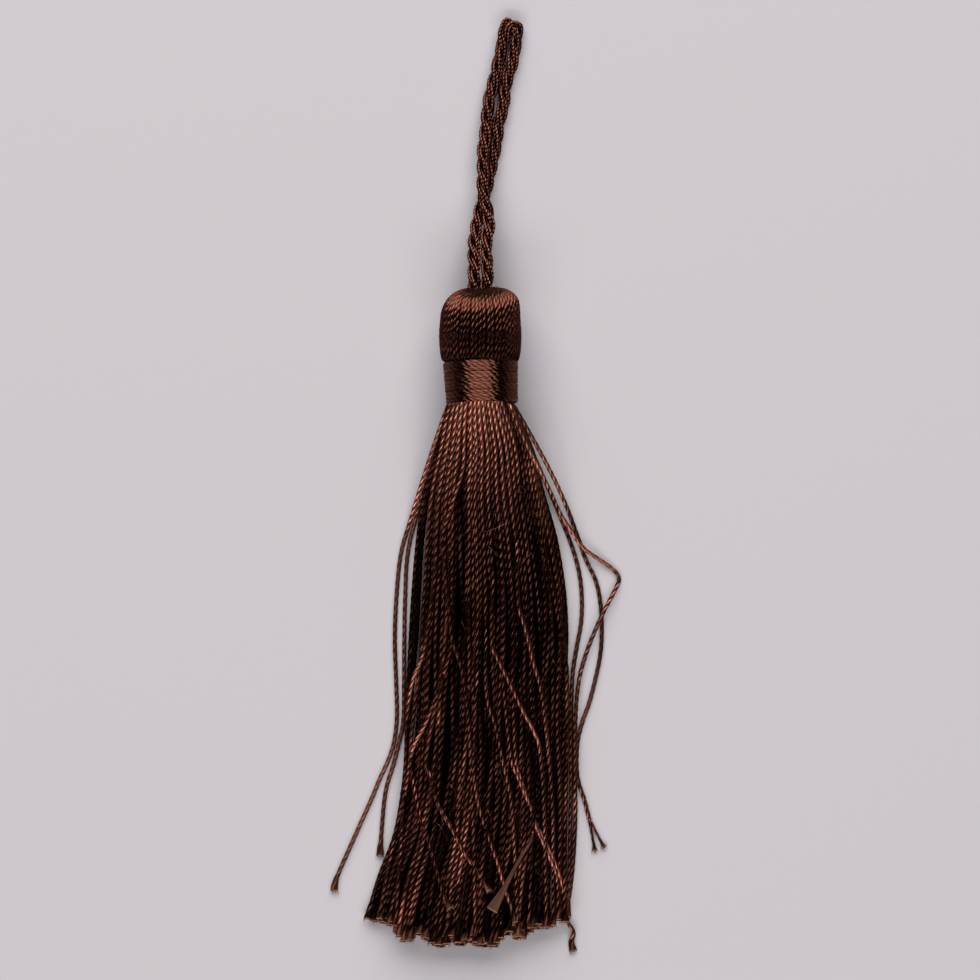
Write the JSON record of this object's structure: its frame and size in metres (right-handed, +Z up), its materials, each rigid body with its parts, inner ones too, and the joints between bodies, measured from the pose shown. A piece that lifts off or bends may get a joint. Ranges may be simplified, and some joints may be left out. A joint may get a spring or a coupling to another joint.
{
  "type": "tassel",
  "caption": "Yarn tassel lying on its back: domed head with a wound neck binding, a skirt of fine twisted strands and a folded rope loop to hang it by.",
  "frame": {"origin": "on the surface, under the middle of the head, binding and skirt", "axes": "+Z up from the surface, +Y along the neck towards the loop, -Y towards the hem"},
  "size_m": [0.0338, 0.1096, 0.0093],
  "materials": {
    "skirt_yarn": "lustrous twisted yarn",
    "binding_yarn": "lustrous twisted yarn, wound",
    "loop_rope": "three-ply rope"
  },
  "bodies": {
    "root": {"head_and_skirt": "skirt_yarn", "neck_binding": "binding_yarn", "hanging_loop": "loop_rope"}
  },
  "joints": []
}
